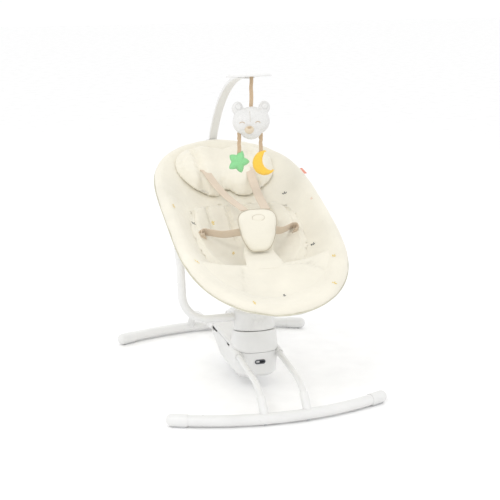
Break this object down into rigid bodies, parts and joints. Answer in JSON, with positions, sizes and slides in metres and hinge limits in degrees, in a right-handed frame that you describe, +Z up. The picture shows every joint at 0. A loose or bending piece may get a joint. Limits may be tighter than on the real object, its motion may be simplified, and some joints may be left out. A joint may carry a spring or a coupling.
{
  "type": "baby swing",
  "caption": "Electric baby swing: reclined padded seat on a U-shaped tube that sways on a motor base with two floor runners, with a harness and a toy arm carrying soft hanging toys.",
  "frame": {"origin": "on the floor below the middle of the base and its runners", "axes": "+Z up, front (foot end) towards -Y, +X to the right seen from the front"},
  "size_m": [0.5842, 0.785, 0.8311],
  "materials": {
    "white_paint": "satin white powder coat",
    "white_plastic": "fine satin white moulding",
    "grey_plastic": "matt dark grey",
    "light_plastic": "satin light grey",
    "rubber_grey": "matt",
    "steel": "turned",
    "copper": "enamelled wire",
    "board_green": "solder mask",
    "cream_fabric": "soft knitted cotton",
    "rim_fabric": "soft knitted cotton over foam",
    "pillow_fabric": "brushed cotton",
    "webbing_beige": "woven webbing",
    "tag_pink": "woven label",
    "button_red": "satin",
    "plush_white": "short plush",
    "plush_green": "short plush",
    "plush_yellow": "short plush"
  },
  "bodies": {
    "base": {"front_runner": "white_paint", "rear_runner": "white_paint", "front_end_caps": "white_plastic", "rear_end_caps": "white_plastic", "front_pads": "rubber_grey", "rear_pads": "rubber_grey", "front_left_leg": "white_paint", "front_right_leg": "white_paint", "rear_left_leg": "white_paint", "rear_right_leg": "white_paint", "front_leg_sockets": "white_plastic", "rear_leg_sockets": "white_plastic", "socket_screws": "steel", "lower_shell": "white_plastic", "upper_shell": "white_plastic", "switch_bezel": "grey_plastic", "dc_socket": "grey_plastic", "bearing_carrier": "white_plastic", "shaft_bearings": "steel", "drive_coil": "copper", "stop_bumpers": "rubber_grey", "circuit_board": "board_green", "speaker": "grey_plastic"},
    "power_switch": {"power_switch": "light_plastic"},
    "swing": {"main_shaft": "steel", "drive_lever": "grey_plastic", "drive_magnet": "steel", "hub_core": "grey_plastic", "hub_front_cover": "white_plastic", "hub_rear_cover": "white_plastic", "hub_screws": "steel", "control_panel": "white_plastic", "swing_tube": "white_paint", "recline_sockets": "white_plastic", "pivot_pins": "steel"},
    "mode_button": {"mode_button": "white_plastic"},
    "speed_button": {"speed_button": "white_plastic"},
    "sound_button": {"sound_button": "white_plastic"},
    "seat": {"recline_brackets": "grey_plastic", "seat_ring": "white_paint", "rim_pad": "rim_fabric", "seat_sling": "cream_fabric", "leg_rest_pad": "cream_fabric", "body_insert": "cream_fabric", "head_pillow": "pillow_fabric", "shoulder_straps": "webbing_beige", "waist_straps": "webbing_beige", "crotch_strap": "cream_fabric", "buckle": "grey_plastic", "buckle_cover": "cream_fabric", "side_tag": "tag_pink", "toy_socket": "white_plastic"},
    "left_recline_button": {"left_recline_button": "light_plastic"},
    "right_recline_button": {"right_recline_button": "light_plastic"},
    "buckle_button": {"buckle_button": "button_red"},
    "toy_arm": {"toy_arm": "white_plastic", "toy_plate": "white_plastic"},
    "bear": {"plush_bear": "plush_white"},
    "star": {"plush_star": "plush_green"},
    "moon": {"plush_moon": "plush_yellow"}
  },
  "joints": [
    {"name": "seat_swing", "type": "hinge", "parent": "base", "child": "swing", "pos_m": [0, -0.102, 0.158], "axis": [0, 0.1736, 0.9848], "range_deg": [-13, 13]},
    {"name": "recline", "type": "hinge", "parent": "swing", "child": "seat", "pos_m": [0, -0.05933, 0.39997], "axis": [1, 0, 0], "range_deg": [-9, 9]},
    {"name": "power_slide", "type": "slide", "parent": "base", "child": "power_switch", "axis": [1, 0, 0], "range_m": [0, 0.012]},
    {"name": "mode_press", "type": "slide", "parent": "swing", "child": "mode_button", "axis": [0, 0.9848, -0.1736], "range_m": [0, 0.0014], "stiffness_N_per_m": 400},
    {"name": "speed_press", "type": "slide", "parent": "swing", "child": "speed_button", "axis": [0, 0.9848, -0.1736], "range_m": [0, 0.0014], "stiffness_N_per_m": 400},
    {"name": "sound_press", "type": "slide", "parent": "swing", "child": "sound_button", "axis": [0, 0.9848, -0.1736], "range_m": [0, 0.0014], "stiffness_N_per_m": 400},
    {"name": "left_recline_press", "type": "slide", "parent": "seat", "child": "left_recline_button", "axis": [1, 0, 0], "range_m": [0, 0.002], "stiffness_N_per_m": 800},
    {"name": "right_recline_press", "type": "slide", "parent": "seat", "child": "right_recline_button", "axis": [-1, 0, 0], "range_m": [0, 0.002], "stiffness_N_per_m": 800},
    {"name": "buckle_press", "type": "slide", "parent": "seat", "child": "buckle_button", "axis": [0, 0.9496, -0.3135], "range_m": [0, 0.002], "stiffness_N_per_m": 600},
    {"name": "toy_arm_pull", "type": "hinge", "parent": "seat", "child": "toy_arm", "pos_m": [0, -0.0467, 0.4125], "axis": [1, 0, 0], "range_deg": [0, 7]},
    {"name": "bear_swing", "type": "hinge", "parent": "toy_arm", "child": "bear", "pos_m": [0, -0.072, 0.822], "axis": [1, 0, 0], "range_deg": [-35, 35]},
    {"name": "star_swing", "type": "hinge", "parent": "bear", "child": "star", "pos_m": [-0.032, -0.072, 0.665], "axis": [1, 0, 0], "range_deg": [-40, 40]},
    {"name": "moon_swing", "type": "hinge", "parent": "bear", "child": "moon", "pos_m": [0.026, -0.072, 0.665], "axis": [1, 0, 0], "range_deg": [-40, 40]}
  ]
}
